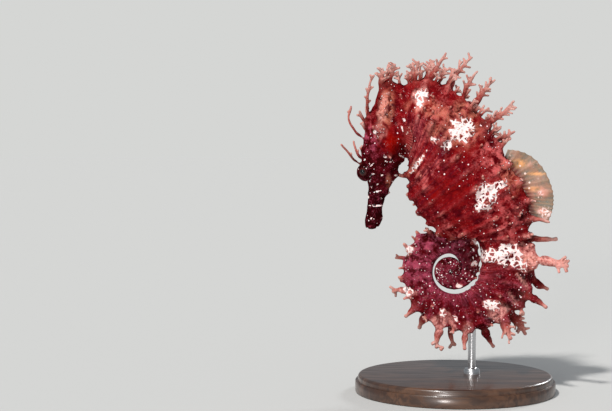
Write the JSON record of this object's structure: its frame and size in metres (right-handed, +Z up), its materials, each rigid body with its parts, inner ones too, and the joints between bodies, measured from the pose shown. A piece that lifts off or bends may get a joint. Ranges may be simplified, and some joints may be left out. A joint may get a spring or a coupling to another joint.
{
  "type": "seahorse model",
  "caption": "Life-size seahorse with a long snout, a mane of branched skin filaments and a coiled tail, held upright by a round display stand with one rod.",
  "frame": {"origin": "centre of the stand's underside, at the level of the surface it stands on", "axes": "+Z up; the animal faces -X, with its left side towards -Y"},
  "size_m": [0.0634, 0.056, 0.0943],
  "materials": {
    "skin": "moist, ringed and warty, with pale specks",
    "fin": "thin and translucent, with fine rays",
    "eye": "wet gloss",
    "base_wood": "dark satin varnish",
    "rod_steel": "brushed"
  },
  "bodies": {
    "root": {"snout": "skin", "head": "skin", "neck": "skin", "trunk_upper": "skin", "trunk_lower": "skin", "tail_base": "skin", "tail_outer": "skin", "tail_front": "skin", "tail_inner": "skin", "tail_tip": "skin", "eye_left": "eye", "eye_right": "eye", "dorsal_fin": "fin", "pectoral_fin_left": "fin", "pectoral_fin_right": "fin", "anal_fin": "fin", "stand_base": "base_wood", "stand_rod": "rod_steel"}
  },
  "joints": []
}
